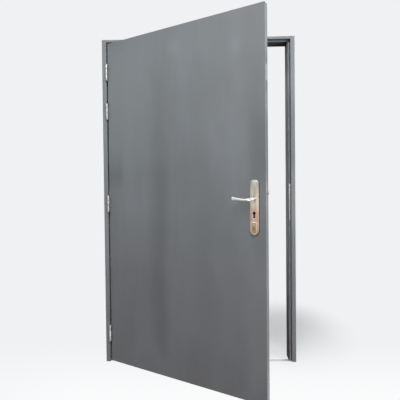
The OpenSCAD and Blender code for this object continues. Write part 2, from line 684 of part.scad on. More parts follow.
module dead_bolt() color(stainless) lock_edge() {
    block([0.2, mid_d - bolt_t / 2, bolt_z - bolt_h / 2],
        [backset - key_r - bolt_throw, mid_d + bolt_t / 2, bolt_z + bolt_h / 2]);
}
module upper_bolt() color(stainless) lock_edge() rod_x(mid_d, upper_z, 0.2, 40, upper_r);
module link_rod() color(galvanised) lock_edge() {
    foot = case_z1 - rod_travel - 4;
    translate([rod_in, mid_d, foot]) cylinder(r = rod_r, h = upper_z0 + 12 - foot);
}
module lever_follower() color(galvanised) lock_edge() difference() {
    union() {
        rod_y(backset, spindle_z, mid_d - case_t / 2 - 0.2, mid_d + case_t / 2 + 0.2, follower_r);
        block([backset - ear_half, mid_d - case_t / 2 + 2 * case_wall, spindle_z + 2],
            [backset + ear_half, mid_d + case_t / 2 - 2 * case_wall, spindle_z + ear_l]);
    }
    spindle_hole(0, tray_d);
}
module spindle_hole(y0, y1) {
    half = spindle_side / 2 + spindle_play;
    block([backset - half, y0, spindle_z - half], [backset + half, y1, spindle_z + half]);
}

// Lever furniture

function plate_top() = spindle_z + plate_up;
function plate_bottom() = spindle_z - plate_down;
// The outline has a round foot and narrows a little to its upper end, whose corners are round
module plate_outline(inset) {
    half = plate_w / 2;
    translate([0, plate_bottom() + half]) circle(r = half - inset);
    translate([inset - half, plate_bottom() + half]) square([2 * (half - inset), plate_down + neck_r]);
    for (side = [-1, 1]) translate([side * (plate_top_w / 2 - plate_corner), plate_top() - plate_corner])
        circle(r = plate_corner - inset);
}
// A bevelled plate that lies on the face y = 0 and rises towards -y
module backplate() {
    difference() {
        translate([backset, 0, 0]) rotate([90, 0, 0]) hull() {
            linear_extrude(plate_t - plate_rise) plate_outline(0);
            linear_extrude(plate_t) plate_outline(plate_bevel);
        }
        keyhole(-plate_t - 1, 1);
        rod_y(backset, spindle_z, -plate_t - 1, 1, neck_r + neck_play);
    }
}
module inner_face() translate([0, leaf_d, 0]) mirror([0, 1, 0]) children();
module outer_backplate() color(stainless) lock_edge() difference() {
    backplate();
    rod_y(backset, cover_z, -plate_t - 1, -1, rivet_r);
    for (z = plate_bolt_z()) rod_y(backset, z, -plate_t + 2, 1, bolt_r + 0.1);
}
module inner_backplate() color(stainless) lock_edge() inner_face() difference() {
    backplate();
    for (z = plate_bolt_z()) rod_y(backset, z, -plate_t - 1, 1, bolt_r + 0.1);
}
module backplate_bolts() color(stainless) lock_edge() for (z = plate_bolt_z())
    translate([backset, leaf_d + plate_t, z]) rotate([-90, 0, 0]) rotate_extrude() polygon([
        [0, -leaf_d - 2 * plate_t + 2.5], [bolt_r, -leaf_d - 2 * plate_t + 2.5], [bolt_r, 0],
        [5, 0], [5, 0.8], [3.6, 1.6], [0, 1.8]]);

// A swan neck leaves the plate, dips as it sweeps into the arm, and the arm rises and widens to its tip.
// Points are [distance towards the hinges, stand-off, rise] and sizes are half axes in the same order.
neck_out = plate_t + 6;
tip = [8, 3.8, 8];
lever_points = [
    [0, neck_out, 0], [1, lever_out - 20, -0.5], [7, lever_out - 9.5, -2.5], [18, lever_out - 3, -3.8],
    [36, lever_out - 0.5, -4], [70, lever_out - 0.7, -1.2], [lever_l - tip[0], lever_out - 2.5, 2]];
lever_sizes = [[neck_r - 0.1, 3, neck_r - 0.1], [7, 6, 7], [6.8, 6, 6.2], [6.6, 5.2, 5.8], [6, 4.6, 5.6],
    [6, 4.2, 6.2], tip];
spindle_in = lever_out - 25;                   // how far the spindle reaches into a lever
module lever() {
    difference() {
        union() {
            rod_y(backset, spindle_z, -neck_out, 0, neck_r);
            for (i = [0:len(lever_points) - 2]) hull() {
                lever_ball(i);
                lever_ball(i + 1);
            }
        }
        spindle_hole(-spindle_in - 1, 1);
    }
}
module lever_ball(i) {
    p = lever_points[i];
    translate([backset + p[0], -p[1], spindle_z + p[2]])
        scale(lever_sizes[i]) sphere(r = 1, $fn = 24);
}
module outer_lever() color(stainless) lock_edge() lever();
module inner_lever() color(stainless) lock_edge() inner_face() lever();
module spindle() color(galvanised) lock_edge() {
    half = spindle_side / 2;
    block([backset - half, -spindle_in, spindle_z - half],
        [backset + half, leaf_d + spindle_in, spindle_z + half]);
}

// The cover hangs from its rivet. Its foot is round and its upper corners are rounded.
module cover_outline() {
    half = cover_w / 2;
    hull() {
        translate([0, half - cover_l]) circle(r = half);
        for (side = [-1, 1]) translate([side * (half - cover_corner), cover_up - cover_corner])
            circle(r = cover_corner);
    }
}
cover_y = -plate_t - web_gap;
module keyhole_cover() color(stainless) lock_edge() difference() {
    translate([backset, cover_y, cover_z]) rotate([90, 0, 0]) linear_extrude(cover_t) cover_outline();
    rod_y(backset, cover_z, cover_y - cover_t - 1, cover_y + 1, rivet_r + pin_play);
    translate([backset, cover_y - cover_t - 6.2, cover_z - cover_l * 0.55])
        scale([0.8, 1, 1.6]) sphere(r = 7);
}
module cover_rivet() color(stainless) lock_edge() translate([backset, 0, cover_z]) rotate([90, 0, 0])
    rotate_extrude() polygon([[0, 1], [rivet_r, 1], [rivet_r, plate_t + 2 * web_gap + cover_t],
        [rivet_r + 2, plate_t + 2 * web_gap + cover_t], [rivet_r + 1.6, plate_t + 2 * web_gap + cover_t + 1],
        [0, plate_t + 2 * web_gap + cover_t + 1.5]]);

hinge_jamb();
lock_jamb();
head_rail();
threshold();
hinge_jamb_seal();
lock_jamb_seal_upper();
lock_jamb_seal_lower();
head_seal();
main_strike();
strike_screws();
frame_half(0);  // hinge_1_frame_half
frame_half(1);  // hinge_2_frame_half
frame_half(2);  // hinge_3_frame_half
frame_half(3);  // hinge_4_frame_half
hinge_pin(0);  // hinge_1_pin
hinge_pin(1);  // hinge_2_pin
hinge_pin(2);  // hinge_3_pin
hinge_pin(3);  // hinge_4_pin
hinge_washers();
hinge_frame_screws();
leaf_half(0);  // hinge_1_leaf_half
leaf_half(1);  // hinge_2_leaf_half
leaf_half(2);  // hinge_3_leaf_half
leaf_half(3);  // hinge_4_leaf_half
hinge_leaf_screws();
leaf_skin();
inner_skin();
skin_rivets();
top_closer();
bottom_closer();
hinge_stile();
lock_stile();
upper_rail();
lower_rail();
core_top();
core_middle();
core_bottom();
main_lock_case();
main_forend();
upper_lock_case();
upper_forend();
forend_screws();
outer_backplate();
inner_backplate();
backplate_bolts();
cover_rivet();
outer_lever();
inner_lever();
spindle();
lever_follower();
latch_bolt();
dead_bolt();
upper_bolt();
link_rod();
keyhole_cover();
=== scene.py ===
import bpy
import json
import math
from mathutils import Matrix, Vector

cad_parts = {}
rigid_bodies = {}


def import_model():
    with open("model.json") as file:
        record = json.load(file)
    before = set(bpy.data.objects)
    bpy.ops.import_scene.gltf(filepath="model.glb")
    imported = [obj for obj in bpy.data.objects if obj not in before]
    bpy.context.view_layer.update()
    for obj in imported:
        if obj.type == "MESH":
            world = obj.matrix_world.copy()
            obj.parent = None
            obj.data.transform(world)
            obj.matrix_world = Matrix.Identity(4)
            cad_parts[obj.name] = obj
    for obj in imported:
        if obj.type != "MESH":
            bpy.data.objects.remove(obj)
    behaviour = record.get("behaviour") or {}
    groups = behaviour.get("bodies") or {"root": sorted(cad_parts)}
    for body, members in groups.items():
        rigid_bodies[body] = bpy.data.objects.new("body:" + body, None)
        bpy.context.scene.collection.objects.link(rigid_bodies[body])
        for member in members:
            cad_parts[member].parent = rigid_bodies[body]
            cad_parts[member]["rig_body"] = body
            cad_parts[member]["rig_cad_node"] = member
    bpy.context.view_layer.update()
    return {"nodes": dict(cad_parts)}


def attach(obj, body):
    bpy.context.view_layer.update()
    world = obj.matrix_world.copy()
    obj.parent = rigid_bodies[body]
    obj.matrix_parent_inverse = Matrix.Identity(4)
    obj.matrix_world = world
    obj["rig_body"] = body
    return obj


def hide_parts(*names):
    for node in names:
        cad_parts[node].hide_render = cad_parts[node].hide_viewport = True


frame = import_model()
nodes = frame["nodes"]
bpy.ops.object.select_all(action="DESELECT")
print("frame loaded:", len(nodes), "nodes")

# Places on the leaf are given as distance from its hinge edge, depth behind its outer face, height.
# Sizes are in metres.
hinge = {"x": -0.56825, "y": -0.0755, "open": math.radians(35.8), "reach": 0.00225, "proud": 0.008}
leaf = {"width": 1.1325, "depth": 0.024}
leafMatrix = (Matrix.Translation((hinge["x"], hinge["y"], 0))
              @ Matrix.Rotation(-hinge["open"], 4, "Z")
              @ Matrix.Translation((hinge["reach"], hinge["proud"], 0)))


# Small helpers for material nodes

def newMaterial(name):
    mat = bpy.data.materials.new(name)
    mat.use_nodes = True
    tree = mat.node_tree
    return mat, tree, tree.nodes["Principled BSDF"]


def addNode(tree, kind, sockets=None, **settings):
    made = tree.nodes.new("ShaderNode" + kind)
    for name, value in settings.items():
        setattr(made, name, value)
    for name, value in (sockets or {}).items():
        if isinstance(value, bpy.types.NodeSocket):
            tree.links.new(value, made.inputs[name])
        else:
            made.inputs[name].default_value = value
    return made


def rgb(red, green, blue):
    return (red, green, blue, 1)


def mixColour(tree, factor, first, second, blend="MIX"):
    made = addNode(tree, "Mix", {0: factor, 6: first, 7: second},
                   data_type="RGBA", blend_type=blend)
    return made.outputs[2]


def tinted(tree, colour, tone, share):
    return mixColour(tree, share, colour, rgb(*tone))


def maths(tree, operation, first, second=0.0):
    return addNode(tree, "Math", {0: first, 1: second}, operation=operation).outputs[0]


def times(tree, first, *others):
    for other in others:
        first = maths(tree, "MULTIPLY", first, other)
    return first


def plus(tree, first, *others):
    for other in others:
        first = maths(tree, "ADD", first, other)
    return first


def opposite(tree, share):
    return maths(tree, "SUBTRACT", 1.0, share)


def farOff(tree, aside, above):
    squares = [maths(tree, "POWER", side, 2.0) for side in (aside, above)]
    return maths(tree, "SQRT", plus(tree, *squares))


def rise(tree, value, low, high):
    made = addNode(tree, "MapRange", {"Value": value, "From Min": low, "From Max": high},
                   interpolation_type="SMOOTHSTEP")
    return made.outputs["Result"]


def band(tree, value, low, high, soft):
    up = rise(tree, value, low - soft, low + soft)
    down = rise(tree, value, high - soft, high + soft)
    return times(tree, up, opposite(tree, down))


# A noise is given as scale, detail, roughness and stretch
def noise(tree, spot, scale, detail, rough, stretch=(1, 1, 1)):
    held = addNode(tree, "Mapping", {"Vector": spot, "Scale": stretch})
    made = addNode(tree, "TexNoise", {"Vector": held.outputs[0], "Scale": scale,
                                      "Detail": detail, "Roughness": rough})
    return made.outputs["Fac"]


def toneUp(tree, z, stops):  # stops are heights and the colours there
    low, high = stops[0][0], stops[-1][0]
    share = addNode(tree, "MapRange", {"Value": z, "From Min": low, "From Max": high})
    made = addNode(tree, "ValToRGB", {"Fac": share.outputs["Result"]})
    marks = made.color_ramp.elements
    while len(marks) < len(stops):
        marks.new(0.5)
    for mark, (height, tone) in zip(marks, stops):
        mark.position = (height - low) / (high - low)
        mark.color = rgb(*tone)
    return made.outputs["Color"]


def bumped(tree, shader, height, depth, strength):
    made = addNode(tree, "Bump", {"Height": height, "Distance": depth, "Strength": strength})
    tree.links.new(made.outputs[0], shader.inputs["Normal"])


# Places: the frame's own, and the leaf's with x across it from the hinges and y through it

def objectSpot(tree):
    return addNode(tree, "TexCoord").outputs["Object"]


def leafSpot(tree):
    back = Matrix.Rotation(hinge["open"], 3, "Z") @ Vector((hinge["x"], hinge["y"], 0))
    shift = (-back.x - hinge["reach"], -back.y - hinge["proud"], 0)
    made = addNode(tree, "Mapping", {"Vector": objectSpot(tree), "Rotation": (0, 0, hinge["open"]),
                                     "Location": shift})
    return made.outputs[0]


def parts(tree, spot):
    made = addNode(tree, "SeparateXYZ", {0: spot})
    return made.outputs[0], made.outputs[1], made.outputs[2]


# The paint that frame and leaf share

paintLook = {
    "colour": (0.165, 0.178, 0.186), "dark": (0.13, 0.137, 0.142), "pale": (0.192, 0.206, 0.215),
    "cloud": (2.2, 4, 0.55, (1.6, 1.6, 0.6)), "cloudRise": (0.35, 0.68), "even": 0.5,
    "fine": (34, 5, 0.6), "fineRise": (0.5, 0.75), "fineShare": 0.12,
    "rough": 0.34, "roughInClouds": 0.12, "roughInStreaks": 0.06,
    "streak": (60, 3, 0.6, (1, 1, 0.05)),
    "peel": (420, 2, 0.5), "peelDepth": 0.00006, "peelStrength": 0.5,
    "gloss": {"leaf": 0.45, "frame": 0.001, "inner": 0.004},
    # the leaf's paint is darker at the foot and lighter higher up: painted shade low down and
    # painted light from the lamps above
    "leaf": [(0.0, (0.81, 0.76, 0.78)), (0.5, (0.86, 0.82, 0.84)), (1.0, (1.07, 1.07, 1.08)),
             (1.7, (1.07, 1.09, 1.1)), (2.0, (0.93, 0.95, 0.96))],
    # the inner skin's paint is lighter upwards: painted light
    "inner": [(0.0, (1.1, 1.1, 1.1)), (2.0, (1.2, 1.2, 1.2))],
    # the frame's paint is lighter round 1 m as a painted highlight, and darker at the foot as
    # painted shade
    "frame": [(0.0, (1.08, 1.05, 1.04)), (0.6, (1.2, 1.16, 1.15)), (1.0, (1.3, 1.28, 1.27)),
              (1.5, (1.22, 1.2, 1.2)), (2.02, (1.25, 1.24, 1.25))]}


def paintBase(tree, spot, place):
    cloud = noise(tree, spot, *paintLook["cloud"])
    fine = noise(tree, spot, *paintLook["fine"])
    patchy = rise(tree, cloud, *paintLook["cloudRise"])
    colour = mixColour(tree, patchy, rgb(*paintLook["dark"]), rgb(*paintLook["pale"]))
    colour = tinted(tree, colour, paintLook["colour"], paintLook["even"])
    share = times(tree, rise(tree, fine, *paintLook["fineRise"]), paintLook["fineShare"])
    colour = tinted(tree, colour, paintLook["pale"], share)
    # painted light and shade by height, multiplied into the paint
    paintedLightAndShadeByHeight = toneUp(tree, parts(tree, spot)[2], paintLook[place])
    return mixColour(tree, 1.0, colour, paintedLightAndShadeByHeight, "MULTIPLY"), cloud, fine


def paintFinish(tree, shader, spot, cloud, place):
    peel = noise(tree, spot, *paintLook["peel"])
    streak = noise(tree, spot, *paintLook["streak"])
    rough = plus(tree, paintLook["rough"], times(tree, cloud, paintLook["roughInClouds"]),
                 times(tree, streak, paintLook["roughInStreaks"]))
    tree.links.new(rough, shader.inputs["Roughness"])
    shader.inputs["Specular IOR Level"].default_value = paintLook["gloss"][place]
    bumped(tree, shader, peel, paintLook["peelDepth"], paintLook["peelStrength"])


# The frame. Rust blooms on the lock jamb's throat and stop, at the head and at the floor

rustLook = {"heights": [(1.929, 1.99, 0.012), (-0.05, 0.13, 0.03)],  # from and to, softness
            "throat": 0.5555, "stop": (-0.0405, -0.0385), "lockSide": (0.45, 0.52),
            "speck": (75, 6, 0.7), "thinRise": (0.36, 0.52), "thin": (0.18, 0.11, 0.085),
            "deepRise": (0.5, 0.6), "deep": (0.1, 0.045, 0.03)}


def rustPatch(tree, x, y, z):
    head, foot = [band(tree, z, *reach) for reach in rustLook["heights"]]
    front, back = rustLook["stop"]
    onFace = maths(tree, "MAXIMUM", maths(tree, "LESS_THAN", x, rustLook["throat"]),
                   maths(tree, "LESS_THAN", y, back))
    inside = times(tree, rise(tree, x, *rustLook["lockSide"]),
                   maths(tree, "GREATER_THAN", y, front))
    return times(tree, maths(tree, "MAXIMUM", head, foot), inside, onFace)


# Painted shade darkens the throats low down, where the open leaf casts its shadow, and high up
# under the head rail
paintedShadeLook = {"across": 0.5555, "from": -0.036, "to": 0.064, "below": 1.993,
             "foot": (0.35, 0.72), "footRise": (0.1, 0.5), "footStrength": 0.45,
             "head": (1.78, 1.9), "headStrength": 0.58, "colour": (0.045, 0.047, 0.05)}


def paintedShadeShare(tree, x, y, z, cloud):
    reach = times(tree, maths(tree, "LESS_THAN", maths(tree, "ABSOLUTE", x), paintedShadeLook["across"]),
                  maths(tree, "GREATER_THAN", y, paintedShadeLook["from"]),
                  maths(tree, "LESS_THAN", y, paintedShadeLook["to"]),
                  maths(tree, "LESS_THAN", z, paintedShadeLook["below"]))
    foot = times(tree, opposite(tree, rise(tree, z, *paintedShadeLook["foot"])),
                 rise(tree, cloud, *paintedShadeLook["footRise"]), paintedShadeLook["footStrength"])
    head = times(tree, rise(tree, z, *paintedShadeLook["head"]), paintedShadeLook["headStrength"])
    return times(tree, maths(tree, "MAXIMUM", foot, head), reach)


jambPaintedLightAndDust = {
    # painted light and shade on the lock jamb's face, stop and throat: across, through and up from
    # and to, softness, strength, colour
    "marks": [(0.556, 0.62, -0.08, -0.06, 0.82, 1.22, 0.07, 0.24, (0.38, 0.39, 0.4)),
              (0.556, 0.62, -0.08, -0.06, 1.62, 1.8, 0.07, 0.2, (0.38, 0.39, 0.4)),
              (0.5, 0.556, -0.036, 0.064, 0.35, 1.76, 0.1, 0.5, (0.5, 0.515, 0.54)),
              (0.5, 0.556, -0.036, 0.064, 0.66, 1.26, 0.1, 0.5, (0.66, 0.67, 0.69)),
              (0.556, 0.62, -0.05, -0.03, 0.05, 0.95, 0.1, 0.25, (0.4, 0.41, 0.42)),
              (0.556, 0.62, -0.05, -0.03, 1.84, 2.1, 0.04, 0.4, (0.07, 0.072, 0.075))],
    "sharp": 0.0004,
    # dust at the foot
    "dustTo": 0.25, "dustShare": 0.3, "dust": (0.27, 0.262, 0.25)}


def framePaint():
    mat, tree, shader = newMaterial("grey frame paint")
    spot = objectSpot(tree)
    x, y, z = parts(tree, spot)
    colour, cloud, fine = paintBase(tree, spot, "frame")
    sharp = jambPaintedLightAndDust["sharp"]
    # each mark paints a highlight or a shade on the lock jamb
    for left, right, near, far, low, high, soft, strength, tone in jambPaintedLightAndDust["marks"]:
        share = times(tree, band(tree, x, left, right, sharp), band(tree, y, near, far, sharp),
                      band(tree, z, low, high, soft), strength)
        colour = tinted(tree, colour, tone, share)
    patch = rustPatch(tree, x, y, z)
    speck = noise(tree, spot, *rustLook["speck"])
    for coat in ("thin", "deep"):
        share = times(tree, patch, rise(tree, speck, *rustLook[coat + "Rise"]))
        colour = tinted(tree, colour, rustLook[coat], share)
    # painted shade on the throats' foot and head
    colour = tinted(tree, colour, paintedShadeLook["colour"], paintedShadeShare(tree, x, y, z, cloud))
    low = rise(tree, maths(tree, "SUBTRACT", jambPaintedLightAndDust["dustTo"], z), 0.0, jambPaintedLightAndDust["dustTo"])
    colour = tinted(tree, colour, jambPaintedLightAndDust["dust"], times(tree, low, jambPaintedLightAndDust["dustShare"], fine))
    tree.links.new(colour, shader.inputs["Base Color"])
    paintFinish(tree, shader, spot, cloud, "frame")
    return mat


# The leaf's two skins. The inner skin has kept its plain, duller coat

def innerPaint():
    mat, tree, shader = newMaterial("grey inner paint")
    spot = leafSpot(tree)
    colour, cloud, _ = paintBase(tree, spot, "inner")
    tree.links.new(colour, shader.inputs["Base Color"])
    paintFinish(tree, shader, spot, cloud, "inner")
    return mat


leafLook = {
    # across from and to, softness, up from and to, softness, strength, colour
    "marks": [(0.375, 0.47, 0.065, 0.19, 1.22, 0.09, 0.4, (0.078, 0.077, 0.077)),
              (0.34, 0.5, 0.06, 0.32, 0.68, 0.12, 0.15, (0.07, 0.069, 0.069)),
              (0.42, 0.505, 0.05, 0.15, 0.42, 0.08, 0.3, (0.07, 0.069, 0.069)),
              (0.39, 0.475, 0.05, 1.26, 1.72, 0.1, 0.13, (0.08, 0.08, 0.081)),
              (0.51, 0.6, 0.035, 1.86, 1.93, 0.03, 0.16, (0.3, 0.31, 0.32)),
              (0.92, 0.99, 0.03, 1.78, 1.86, 0.03, 0.14, (0.3, 0.31, 0.32)),
              (-0.1, 0.115, 0.022, 1.1, 1.32, 0.06, 0.4, (0.08, 0.083, 0.085)),
              (-0.1, 0.19, 0.06, 0.4, 0.98, 0.14, 0.12, (0.09, 0.09, 0.092)),
              (1.045, 1.3, 0.03, 1.12, 1.43, 0.07, 0.45, (0.09, 0.09, 0.094)),
              (1.0, 1.3, 0.05, 1.42, 2.1, 0.1, 0.27, (0.1, 0.102, 0.108)),
              (-0.1, 0.34, 0.06, 1.22, 1.95, 0.12, 0.65, (0.187, 0.215, 0.219)),
              (0.84, 1.2, 0.09, 1.3, 1.75, 0.16, 0.1, (0.14, 0.145, 0.15)),
              (1.02, 1.3, 0.04, 0.1, 0.72, 0.12, 0.35, (0.23, 0.232, 0.238))],
    # the marks' outlines wander with a noise to both sides of its middle, more so upwards
    "drift": (3.5, 3, 0.5, (1, 1, 0.4)), "driftMiddle": 0.5, "wander": 0.07, "wanderUp": 3.0,
    # the lock edge, lighter low down and high up as painted light: up from and to, softness,
    # strength, colour
    "edge": [(-0.2, 0.17, 0.13, 0.55, (0.36, 0.36, 0.365)),
             (1.46, 1.56, 0.03, 0.2, (0.36, 0.37, 0.38)),
             (1.76, 2.1, 0.05, 0.3, (0.42, 0.43, 0.44))],
    "edgeDepth": 0.001,
    # a brownish stain spreads from the upper hinges: up from and to, how far, how strong
    "stains": [(0.9, 1.05), (1.52, 1.63), (1.76, 1.87)], "stainTo": 0.045, "stainSoft": 0.02,
    "stainShare": 0.6, "stain": (0.15, 0.142, 0.13)}


def leafPaint():
    mat, tree, shader = newMaterial("grey leaf paint")
    spot = leafSpot(tree)
    x, _, z = parts(tree, spot)
    colour, cloud, _ = paintBase(tree, spot, "leaf")
    drift = maths(tree, "SUBTRACT", noise(tree, spot, *leafLook["drift"]), leafLook["driftMiddle"])
    wobble = times(tree, drift, leafLook["wander"])
    across = plus(tree, x, wobble)
    upward = plus(tree, z, times(tree, wobble, leafLook["wanderUp"]))
    for left, right, softX, low, high, softZ, strength, tone in leafLook["marks"]:
        share = times(tree, band(tree, across, left, right, softX),
                      band(tree, upward, low, high, softZ), strength)
        colour = tinted(tree, colour, tone, share)
    edge = maths(tree, "GREATER_THAN", x, leaf["width"] - leafLook["edgeDepth"])
    # lighter bands on the lock edge: painted light
    for low, high, soft, strength, tone in leafLook["edge"]:
        share = times(tree, edge, band(tree, z, low, high, soft), strength)
        colour = tinted(tree, colour, tone, share)
    near = opposite(tree, rise(tree, across, 0.0, leafLook["stainTo"]))
    for low, high in leafLook["stains"]:
        share = times(tree, near, band(tree, z, low, high, leafLook["stainSoft"]),
                      leafLook["stainShare"])
        colour = tinted(tree, colour, leafLook["stain"], share)
    tree.links.new(colour, shader.inputs["Base Color"])
    paintFinish(tree, shader, spot, cloud, "leaf")
    return mat


# The bright steels. Each one's colour goes through stops of height and colour, which paint how
# light and reflections fall on it at each height

steels = {
    "plate": {"name": "brushed stainless, upright grain",
              "rough": 0.32, "grain": (1, 1, 0.03), "dirt": 0.25,
              # these stops paint the plate's reflections and highlight: pinkish brown low down,
              # brightest round 1.02 m
              "stops": [(0.855, (0.42, 0.31, 0.27)), (0.915, (0.5, 0.37, 0.31)),
                        (0.965, (0.51, 0.36, 0.29)), (1.02, (0.62, 0.525, 0.45)),
                        (1.075, (0.46, 0.425, 0.375)), (1.13, (0.32, 0.3, 0.285))],
              # painted shade on the plate's sides near the leaf, where it sits: height over the
              # leaf, colour
              "base": (0.0045, (0.07, 0.06, 0.05))},
    "cover": {"name": "bronzed cover steel", "rough": 0.28, "grain": (1, 1, 0.05), "dirt": 0.25,
              "stops": [(0.86, (0.36, 0.245, 0.165)), (0.9, (0.4, 0.285, 0.19)),
                        (0.915, (0.42, 0.31, 0.21))],
              # a painted highlight round its outline and along its top edge, with a brown blot in
              # its hollow
              "rimHighlightAndBlot": {"middle": 1.0675, "foot": 0.878, "top": 0.9175, "half": 0.0145, "soft": 0.001,
                      "tone": (0.66, 0.53, 0.42), "blot": 0.889, "blotTall": 0.5,
                      "blotRise": (0.002, 0.0075), "blotTone": (0.22, 0.145, 0.09)}},
    "lever": {"name": "polished stainless", "rough": 0.4, "grain": (0.05, 1, 1), "dirt": 0.25,
              # the lever is lighter towards its top: painted light
              "stops": [(1.02, (0.56, 0.55, 0.51)), (1.05, (0.62, 0.61, 0.58))]},
    "forend": {"name": "dull front plate steel", "rough": 0.35, "grain": (1, 1, 0.05), "dirt": 0.3,
               "stops": [(0.88, (0.27, 0.25, 0.25)), (1.2, (0.28, 0.28, 0.285)),
                         (1.6, (0.42, 0.42, 0.425))]},
    "hinge": {"name": "satin hinge steel", "rough": 0.4, "grain": (1, 1, 0.06), "dirt": 0.3,
              "stops": [(0.2, (0.46, 0.45, 0.43)), (1.0, (0.46, 0.46, 0.45)),
                        (1.5, (0.42, 0.425, 0.43)), (1.8, (0.42, 0.425, 0.43))]},
    "strike": {"name": "dull strike steel", "rough": 0.35, "grain": (1, 1, 0.05), "dirt": 0.3,
               # brighter towards the foot: painted light
               "stops": [(0.88, (0.7, 0.72, 0.74)), (1.0, (0.62, 0.64, 0.66)),
                         (1.1, (0.42, 0.44, 0.455))],
               # only the line that the bolts have rubbed has it, a worn line that also carries a
               # painted highlight of the strike's lip; beside it the strike is painted dark as
               # shade: across from and to, colour beside it
               "rubLineAndShade": (0.5603, 0.5685, (0.12, 0.122, 0.125))}}

steelWear = {"brush": (900, 3, 0.6), "cloud": (40, 4, 0.6), "grime": (160, 5, 0.65),
             "dull": (0.74, 0.73, 0.72), "cloudRise": (0.4, 0.7), "cloudShare": 0.4,
             "dirt": (0.2, 0.17, 0.14), "grimeRise": (0.58, 0.72), "sharp": 0.0006,
             "roughInGrain": 0.16, "roughInClouds": 0.08,
             "grainDepth": 0.00002, "grainStrength": 0.6}


def paintRimHighlightAndBlot(tree, x, z, base, rimHighlightAndBlot):
    aside = maths(tree, "ABSOLUTE", maths(tree, "SUBTRACT", x, rimHighlightAndBlot["middle"]))
    below = maths(tree, "MAXIMUM", maths(tree, "SUBTRACT", rimHighlightAndBlot["foot"], z), 0.0)
    half, top, soft = rimHighlightAndBlot["half"], rimHighlightAndBlot["top"], rimHighlightAndBlot["soft"]
    # the outline and the top edge get a painted highlight
    edge = maths(tree, "MAXIMUM", rise(tree, farOff(tree, aside, below), half - soft, half + soft),
                 rise(tree, z, top - soft, top + soft))
    base = tinted(tree, base, rimHighlightAndBlot["tone"], edge)
    above = times(tree, maths(tree, "SUBTRACT", z, rimHighlightAndBlot["blot"]), rimHighlightAndBlot["blotTall"])
    blot = opposite(tree, rise(tree, farOff(tree, aside, above), *rimHighlightAndBlot["blotRise"]))
    return tinted(tree, base, rimHighlightAndBlot["blotTone"], blot)


def steelLook(look):
    mat, tree, shader = newMaterial(look["name"])
    spot = leafSpot(tree)
    x, y, z = parts(tree, spot)
    brush = noise(tree, spot, *steelWear["brush"], look["grain"])
    cloud = noise(tree, spot, *steelWear["cloud"])
    grime = noise(tree, spot, *steelWear["grime"])
    base = toneUp(tree, z, look["stops"])
    dull = mixColour(tree, 1.0, base, rgb(*steelWear["dull"]), "MULTIPLY")
    share = times(tree, rise(tree, cloud, *steelWear["cloudRise"]), steelWear["cloudShare"])
    base = mixColour(tree, share, base, dull)
    share = times(tree, rise(tree, grime, *steelWear["grimeRise"]), look["dirt"])
    base = tinted(tree, base, steelWear["dirt"], share)
    sharp = steelWear["sharp"]
    # the plate's sides near the leaf are painted dark as shade
    if "base" in look:
        height, tone = look["base"]
        off = maths(tree, "ABSOLUTE", maths(tree, "SUBTRACT", y, leaf["depth"] / 2))
        reach = leaf["depth"] / 2 + height
        base = mixColour(tree, rise(tree, off, reach - sharp, reach + sharp), rgb(*tone), base)
    if "rubLineAndShade" in look:
        left, right, tone = look["rubLineAndShade"]
        # painted shade beside the rubbed and highlighted line
        bright = band(tree, parts(tree, objectSpot(tree))[0], left, right, sharp)
        base = mixColour(tree, bright, rgb(*tone), base)
    if "rimHighlightAndBlot" in look:
        base = paintRimHighlightAndBlot(tree, x, z, base, look["rimHighlightAndBlot"])
    tree.links.new(base, shader.inputs["Base Color"])
    rough = plus(tree, look["rough"], times(tree, brush, steelWear["roughInGrain"]),
                 times(tree, cloud, steelWear["roughInClouds"]))
    tree.links.new(rough, shader.inputs["Roughness"])
    shader.inputs["Metallic"].default_value = 1
    bumped(tree, shader, brush, steelWear["grainDepth"], steelWear["grainStrength"])
    return mat


# Zinc coated sheets with their flakes, and the steel of the locks, greased and painted dark as
# shade so that the keyhole reads black

sheets = {
    "zinc": {"name": "galvanised sheet", "pale": (0.6, 0.62, 0.64), "dark": (0.42, 0.44, 0.46),
             "rough": 0.34},
    # dark so that the keyhole through the lock reads black: part grease, part painted shade
    "case": {"name": "greased and shade darkened lock steel", "pale": (0.12, 0.12, 0.12), "dark": (0.07, 0.07, 0.072),
             "rough": 0.34},
    "sill": {"name": "trodden sheet", "pale": (0.56, 0.565, 0.57), "dark": (0.42, 0.425, 0.43),
             "rough": 0.6}}

sheetWear = {"flakes": 160.0, "cloud": (14, 4, 0.6), "cloudShare": 0.4, "metal": 0.9,
             "roughInFlakes": 0.2, "flakeDepth": 0.00003, "flakeStrength": 0.4}


def sheetLook(look):
    mat, tree, shader = newMaterial(look["name"])
    spot = objectSpot(tree)
    flakes = addNode(tree, "TexVoronoi", {"Vector": spot, "Scale": sheetWear["flakes"]})
    tone = parts(tree, flakes.outputs["Color"])[0]
    cloud = noise(tree, spot, *sheetWear["cloud"])
    base = mixColour(tree, tone, rgb(*look["dark"]), rgb(*look["pale"]))
    base = tinted(tree, base, look["dark"], times(tree, cloud, sheetWear["cloudShare"]))
    tree.links.new(base, shader.inputs["Base Color"])
    rough = plus(tree, look["rough"], times(tree, tone, sheetWear["roughInFlakes"]))
    tree.links.new(rough, shader.inputs["Roughness"])
    shader.inputs["Metallic"].default_value = sheetWear["metal"]
    bumped(tree, shader, tone, sheetWear["flakeDepth"], sheetWear["flakeStrength"])
    return mat


# The seals' rubber is dusty, lighter round mid-height as painted light and darker at the head as
# painted shade

